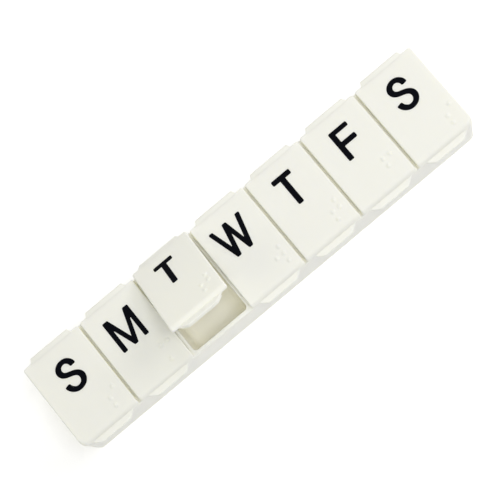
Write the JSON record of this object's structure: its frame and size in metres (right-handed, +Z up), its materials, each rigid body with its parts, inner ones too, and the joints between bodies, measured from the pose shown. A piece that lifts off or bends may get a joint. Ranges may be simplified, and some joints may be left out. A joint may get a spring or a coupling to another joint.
{
  "type": "weekly pill organizer",
  "caption": "Weekly pill organizer: a long tray of day wells, each with its own snap lid on a moulded hinge strap, a thumb tab and a raised tactile day letter.",
  "frame": {"origin": "under the middle of the whole object, on the surface that it stands on", "axes": "+X along the tray from Sunday to Saturday, +Y from the thumb tabs back to the hinges, +Z up"},
  "size_m": [0.1446, 0.0326, 0.0375],
  "materials": {
    "tray": "satin moulded polypropylene, warm ivory, faintly translucent",
    "lid": "satin moulded polypropylene, warm ivory, printed day letter"
  },
  "bodies": {
    "tray": {"tray": "tray", "hinge_strap_sunday": "tray", "hinge_strap_monday": "tray", "hinge_strap_tuesday": "tray", "hinge_strap_wednesday": "tray", "hinge_strap_thursday": "tray", "hinge_strap_friday": "tray", "hinge_strap_saturday": "tray"},
    "lid_sunday": {"lid_sunday": "lid"},
    "lid_monday": {"lid_monday": "lid"},
    "lid_tuesday": {"lid_tuesday": "lid"},
    "lid_wednesday": {"lid_wednesday": "lid"},
    "lid_thursday": {"lid_thursday": "lid"},
    "lid_friday": {"lid_friday": "lid"},
    "lid_saturday": {"lid_saturday": "lid"}
  },
  "joints": [
    {"name": "lid_sunday_hinge", "type": "hinge", "parent": "tray", "child": "lid_sunday", "pos_m": [-0.0618, 0.01562, 0.01855], "axis": [-1, 0, 0], "range_deg": [0, 175], "deforming": ["hinge_strap_sunday"]},
    {"name": "lid_monday_hinge", "type": "hinge", "parent": "tray", "child": "lid_monday", "pos_m": [-0.0412, 0.01562, 0.01855], "axis": [-1, 0, 0], "range_deg": [0, 175], "deforming": ["hinge_strap_monday"]},
    {"name": "lid_tuesday_hinge", "type": "hinge", "parent": "tray", "child": "lid_tuesday", "pos_m": [-0.0206, 0.01562, 0.01855], "axis": [-1, 0, 0], "range_deg": [-36, 139], "deforming": ["hinge_strap_tuesday"]},
    {"name": "lid_wednesday_hinge", "type": "hinge", "parent": "tray", "child": "lid_wednesday", "pos_m": [0, 0.01562, 0.01855], "axis": [-1, 0, 0], "range_deg": [0, 175], "deforming": ["hinge_strap_wednesday"]},
    {"name": "lid_thursday_hinge", "type": "hinge", "parent": "tray", "child": "lid_thursday", "pos_m": [0.0206, 0.01562, 0.01855], "axis": [-1, 0, 0], "range_deg": [0, 175], "deforming": ["hinge_strap_thursday"]},
    {"name": "lid_friday_hinge", "type": "hinge", "parent": "tray", "child": "lid_friday", "pos_m": [0.0412, 0.01562, 0.01855], "axis": [-1, 0, 0], "range_deg": [0, 175], "deforming": ["hinge_strap_friday"]},
    {"name": "lid_saturday_hinge", "type": "hinge", "parent": "tray", "child": "lid_saturday", "pos_m": [0.0618, 0.01562, 0.01855], "axis": [-1, 0, 0], "range_deg": [0, 175], "deforming": ["hinge_strap_saturday"]}
  ]
}
